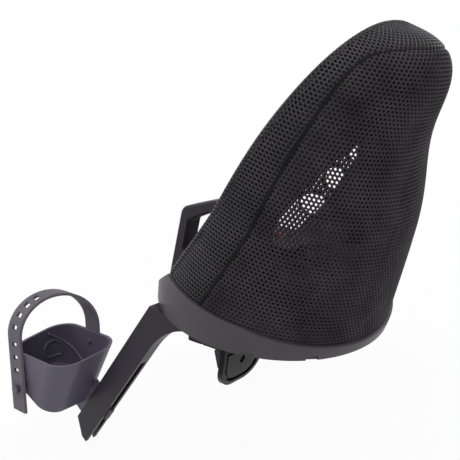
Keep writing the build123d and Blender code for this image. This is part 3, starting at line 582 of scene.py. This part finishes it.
points, faces, area = open_knit(
    rim_length - knit_pitch, rim_girth + row_step / 2, knit_pitch, rim_hole, knit_yarn, on_roll,
    lambda spot: np.full(len(spot), True))
roll_mesh = new_piece("roll_mesh", leaned(points), faces, rim_knit, "seat", "mesh")
foam = knit_finish("edge_foam", (0.006, 0.006, 0.007), (0.012, 0.012, 0.013), 0.8, 0.1)
cord_up = leaned(rim_path + rim_up) - leaned(rim_path)
cord = sweep(leaned(rim_path), cord_up, oval(cord_half, cord_half))
new_piece("edge_cord", *cord, foam, "seat", "mesh")

# The seam beside the rim: a flat welt of plain black fabric, sewn into the shallow valley where the two meshes
# meet. Its near-black strip is painted shade that darkens the valley.
shade_welt_depth, shade_welt_half, shade_welt_thick = 0.0017, 0.0024, 0.0008
seam_path = around(seam_line, 0.0, shade_welt_depth)
seam_up = leaned(seam_path + bucket_normal(seam_path, shade_welt_depth)) - leaned(seam_path)
shade_welt = sweep(leaned(seam_path), seam_up, oval(shade_welt_half, shade_welt_thick, 12))
new_piece("seam_shade_welt", *shade_welt, foam, "seat", "mesh")

# The inner mesh that the child leans on: a softer knit stretched across the frame's window, with a row of air
# slots on each side of the spine that are cut out of the knit and bound with a narrow tape.
liner_inset, liner_wide, liner_tall, liner_hole, liner_yarn = 0.0102, 0.66, 0.44, 0.5, 0.001
rim_clear, foot_clear = 0.003, 0.005
liner_knit = knit_finish("liner_knit", (0.016, 0.015, 0.017), (0.045, 0.042, 0.046), 0.6, 0.15)
slots = np.array(((0.063, 0.209, 0.0080, 0.0100), (0.077, 0.181, 0.0085, 0.0120),
                  (0.090, 0.155, 0.0090, 0.0110)))


def in_slot(spot):
    """Whether points lie in an oval air slot, given by its middle (across, up) and half sizes."""
    across, up, half_across, half_up = slots.T
    away = ((np.abs(spot[:, :1]) - across) / half_across) ** 2 + ((spot[:, 2:] - up) / half_up) ** 2
    return (away < 1).any(1)


def on_inside(flat, sink):
    """Flat cloth laid on the bucket's inside, sunk towards the frame by its yarn."""
    spot = bucket_at(flat[:, 0], flat[:, 1], liner_inset)
    return spot + sink[:, None] * bucket_normal(spot, liner_inset)


def in_liner(spot):
    """Whether points lie inside the liner's edge, clear of the rim, the foot and the slots."""
    above = spot[:, 2] > foot_height(spot[:, 1]) + foot_clear
    return (behind(rim_line, spot) > rim_clear) & above & ~in_slot(spot)


points, faces, area = open_knit(liner_wide, liner_tall, knit_pitch, liner_hole, liner_yarn, on_inside, in_liner)
liner_mesh = new_piece("liner_mesh", leaned(points), faces, liner_knit, "seat", "liner")
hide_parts("mesh_liner")
tape_half, tape_thick = 0.0015, 0.0008
tape_turn = np.linspace(0, 2 * np.pi, 49)
for number, (across, up, half_across, half_up) in enumerate(slots, 1):
    for name, side in zip(sides, (1, -1)):
        x, h = side * (across + half_across * np.cos(tape_turn)), up + half_up * np.sin(tape_turn)
        wide, deep = bucket_sizes(h, liner_inset)
        edge = np.stack((x, bucket_middle + deep * np.sqrt(1 - (x / wide) ** 2), h), -1)
        lift = leaned(edge + bucket_normal(edge, liner_inset)) - leaned(edge)
        tape = sweep(leaned(edge), lift, oval(tape_half, tape_thick, 12))
        new_piece(f"slot_tape_{name}_{number}", *tape, liner_knit, "seat", "liner")


# The seat cushion: a foam pad in a sewn cover of close spacer knit, laid loose on the pan. The cover is blown up
# as cloth, and held down where the straps and the buckle press on it.
def settled(piece):
    """Makes a piece's modifiers part of its mesh."""
    mesh = bpy.data.meshes.new_from_object(piece.evaluated_get(bpy.context.evaluated_depsgraph_get()))
    piece.modifiers.clear()
    piece.data = mesh


def corners_of(piece):
    """A piece's points as an array."""
    flat = np.empty(3 * len(piece.data.vertices))
    piece.data.vertices.foreach_get("co", flat)
    return flat.reshape(-1, 3)


settle_frames = 20


def puffed(name, node, voxel, pressure, most, material, body, pressed_by=()):
    """A copy of a CAD soft solid, remeshed evenly and blown up as cloth, each point moved by no more than most,
    and less within reach of the boxes of the CAD nodes that press on it, given as (node, reach)."""
    form = bmesh.new()
    form.from_mesh(nodes[node].data)
    bmesh.ops.remove_doubles(form, verts=form.verts, dist=1e-5)
    mesh = bpy.data.meshes.new(name)
    form.to_mesh(mesh)
    form.free()
    piece = bpy.data.objects.new(name, mesh)
    bpy.context.scene.collection.objects.link(piece)
    even = piece.modifiers.new("even", "REMESH")
    even.mode = "VOXEL"
    even.voxel_size = voxel
    settled(piece)
    before = corners_of(piece)
    cover = piece.modifiers.new("cover", "CLOTH")
    cover.settings.use_pressure = True
    cover.settings.uniform_pressure_force = pressure
    cover.settings.effector_weights.gravity = 0.0
    for step in range(1, settle_frames + 1):
        bpy.context.scene.frame_set(step)
    settled(piece)
    bpy.context.scene.frame_set(1)
    moved = corners_of(piece) - before
    length = np.linalg.norm(moved, axis=1, keepdims=True)
    moved *= np.minimum(1, most / np.maximum(length, 1e-9))
    for presser, reach in pressed_by:
        low, high = (np.array(corner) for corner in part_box(presser))
        away = np.linalg.norm(np.maximum(np.maximum(low - before, before - high), 0), axis=1, keepdims=True)
        moved *= np.clip(away / reach, 0, 1)
    after = before + moved
    piece.data.vertices.foreach_set("co", after.ravel())
    soft = piece.modifiers.new("soft", "SUBSURF")
    soft.levels = soft.render_levels = 1
    settled(piece)
    piece.data.polygons.foreach_set("use_smooth", np.full(len(piece.data.polygons), True))
    piece.data.materials.clear()
    piece.data.materials.append(material)
    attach(piece, body)
    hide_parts(node)
    return piece


def spacer_finish(name, colour, cell):
    """Close spacer knit: small round dimples from a cell pattern, with painted shade inside them, on soft fibres.
    """
    material, tree, output = new_material(name)
    place = tree.nodes.new("ShaderNodeTexCoord")
    cells = wired(tree, "ShaderNodeTexVoronoi", {"Scale": 1 / cell}, Vector=place.outputs["Object"])
    fibre = wired(tree, "ShaderNodeTexNoise", {"Scale": 1800.0, "Detail": 3.0}, Vector=place.outputs["Object"])
    rise = wired(tree, "ShaderNodeMapRange", {"From Min": 0.15, "From Max": 0.55},
                 Value=cells.outputs["Distance"])
    # Painted shade: the colour falls to 0.45 of itself towards each dimple's middle, where the bump sinks.
    ramp = wired(tree, "ShaderNodeValToRGB", Fac=rise.outputs["Result"])
    ramp.color_ramp.elements[0].color = (*(0.45 * c for c in colour), 1)
    ramp.color_ramp.elements[1].color = (*colour, 1)
    rough = wired(tree, "ShaderNodeMapRange", {"To Min": 0.65, "To Max": 0.9}, Value=fibre.outputs["Fac"])
    bump = wired(tree, "ShaderNodeBump", {"Strength": 0.6, "Distance": 0.0008}, Height=rise.outputs["Result"])
    shader = wired(tree, "ShaderNodeBsdfPrincipled", {"Specular IOR Level": 0.25, "Sheen Weight": 0.08},
                   Base_Color=ramp.outputs["Color"], Roughness=rough.outputs["Result"],
                   Normal=bump.outputs["Normal"])
    tree.links.new(shader.outputs[0], output.inputs["Surface"])
    return material


cushion_cover = spacer_finish("cushion_cover", (0.03, 0.03, 0.033), 0.0026)
cushion = puffed(
    "cushion", "seat_cushion", voxel=0.005, pressure=4.0, most=0.006, material=cushion_cover, body="seat",
    pressed_by=(("buckle_body", 0.014), *((f"shoulder_strap_{side}", 0.008) for side in sides)))

# The harness webbing: woven nylon straps, each one length. Two lie down the liner and over the cushion to the
# buckle, and the crotch strap comes up the cushion's front.
weave, given, made = new_group("weave", [("Along", "NodeSocketFloat", 0.0), ("Across", "NodeSocketFloat", 0.0)],
                               [("Height", "NodeSocketFloat")])
warp_pitch, weft_pitch = 0.0013, 0.0018
column = maths(weave, "DIVIDE", given.outputs["Across"], warp_pitch)
odd = maths(weave, "MODULO", maths(weave, "FLOOR", maths(weave, "ADD", column, 100.0), 0.0), 2.0)
stagger = maths(weave, "MULTIPLY", odd, 0.5)
row = maths(weave, "ADD", maths(weave, "DIVIDE", given.outputs["Along"], weft_pitch), stagger)
wave = maths(weave, "SINE", maths(weave, "MULTIPLY", row, 2 * np.pi), 0.0)
rib = maths(weave, "ABSOLUTE", maths(weave, "SINE", maths(weave, "MULTIPLY", column, np.pi), 0.0), 0.0)
height = maths(weave, "MULTIPLY", rib, maths(weave, "ADD", maths(weave, "MULTIPLY", wave, 0.35), 0.65))
weave.links.new(height, made.inputs["Height"])
webbing_finish, tree, output = new_material("webbing")
lie = wired(tree, "ShaderNodeAttribute", {"attribute_name": "weave"})
split = wired(tree, "ShaderNodeSeparateXYZ", Vector=lie.outputs["Vector"])
woven = wired(tree, "ShaderNodeGroup", {"node_tree": weave}, Along=split.outputs["Y"], Across=split.outputs["X"])
# Painted shade: the colour runs from near black in the weave's low parts up to its plain value on the yarn's
# crests.
ramp = wired(tree, "ShaderNodeValToRGB", Fac=woven.outputs["Height"])
ramp.color_ramp.elements[0].color = (0.006, 0.006, 0.007, 1)
ramp.color_ramp.elements[1].color = (0.028, 0.028, 0.031, 1)
bump = wired(tree, "ShaderNodeBump", {"Strength": 0.7, "Distance": 0.0005}, Height=woven.outputs["Height"])
rough = wired(tree, "ShaderNodeMapRange", {"To Min": 0.75, "To Max": 0.5}, Value=woven.outputs["Height"])
shader = wired(tree, "ShaderNodeBsdfPrincipled", {"Specular IOR Level": 0.35}, Base_Color=ramp.outputs["Color"],
               Roughness=rough.outputs["Result"], Normal=bump.outputs["Normal"])
tree.links.new(shader.outputs[0], output.inputs["Surface"])

web_half, web_thick, cushion_rise, liner_back = 0.0125, 0.0018, 0.0246, 0.0117
strap_x, strap_front_x, strap_front, strap_rear, strap_top = 0.034, 0.016, -0.092, 0.040, 0.252
bend_height, bend_reach = 0.066, 0.026
web_inset = liner_back + web_thick / 2


def bend(start, corner, end, count=16):
    """Points of the curve that leaves start towards a corner and reaches end from it."""
    t = np.linspace(0, 1, count)[:, None]
    return (1 - t) ** 2 * start + 2 * t * (1 - t) * corner + t ** 2 * end


def webbing(name, node, path, side):
    """A flat strap along a path of the leaning seat, with its lengthwise and crosswise places for the weave."""
    profile = oval(web_half, web_thick / 2, 40, 6.0)
    upright = np.cross(np.gradient(path, axis=0), (-1.0, 0.0, 0.0))
    points, faces = sweep(path * (side, 1, 1), upright * (side, 1, 1), profile)
    piece = new_piece(name, leaned(points), faces, webbing_finish, "seat", "webbing")
    length = np.concatenate(([0], np.cumsum(np.linalg.norm(np.diff(path, axis=0), axis=1))))
    across, along = np.tile(profile[:, 0], len(path)), np.repeat(length, len(profile))
    place = np.stack((across, along, np.zeros(len(points))), -1)
    piece.data.attributes.new("weave", "FLOAT_VECTOR", "POINT").data.foreach_set("vector", place.ravel())
    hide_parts(node)


levels = np.linspace(strap_top, bend_height, 60)
wide, deep = bucket_sizes(levels, web_inset)
liner_y = bucket_middle + deep * np.sqrt(1 - (strap_x / wide) ** 2)
back_run = np.stack((np.full(len(levels), strap_x), liner_y, levels), -1)
back = np.linspace(back_run[-1, 1] - bend_reach, strap_front, 40)
across = strap_front_x + (back - strap_front) / (strap_rear - strap_front) * (strap_x - strap_front_x)
seat_run = np.stack((across, back, foot_height(back) + cushion_rise + web_thick / 2), -1)
corner = np.array((strap_x, back_run[-1, 1], seat_run[0, 2]))
strap_path = np.concatenate((back_run, bend(back_run[-1], corner, seat_run[0])[1:-1], seat_run))
for name, side in zip(sides, (1, -1)):
    webbing(f"webbing_{name}", f"shoulder_strap_{name}", strap_path, side)

cushion_front, buckle_front, pan_height, crotch_bend = -0.1503, -0.138, 0.022, 0.005
over = pan_height + cushion_rise + web_thick / 2
front = cushion_front - web_thick / 2
rise = np.linspace((0, front, pan_height), (0, front, over - crotch_bend), 12)
fold = bend(rise[-1], np.array((0, front, over)), np.array((0, front + crotch_bend, over)))
crotch_path = np.concatenate((rise, fold[1:], np.linspace(fold[-1], (0, buckle_front, over), 6)[1:]))
webbing("webbing_crotch", "crotch_strap", crotch_path, 1)

# The shoulder pads: foam sleeves in the cushion's spacer knit, puffed in the same way, that slide on the webbing
# to the child's shoulders.
for name in sides:
    pad = puffed(f"pad_{name}", f"shoulder_pad_{name}", voxel=0.003, pressure=3.0, most=0.0015,
                 material=cushion_cover, body="seat")

# The harness buckle: a moulded case with a red press button, and two moulded tongues on the webbing's ends that
# are pushed into it.
dress(moulded("buckle_plastic", (0.014, 0.014, 0.015), 0.36, 0.2), "buckle_body",
      *(f"strap_latch_{side}" for side in sides))
dress(moulded("press_plastic", (0.24, 0.012, 0.011), 0.34, 0.15), "buckle_button")
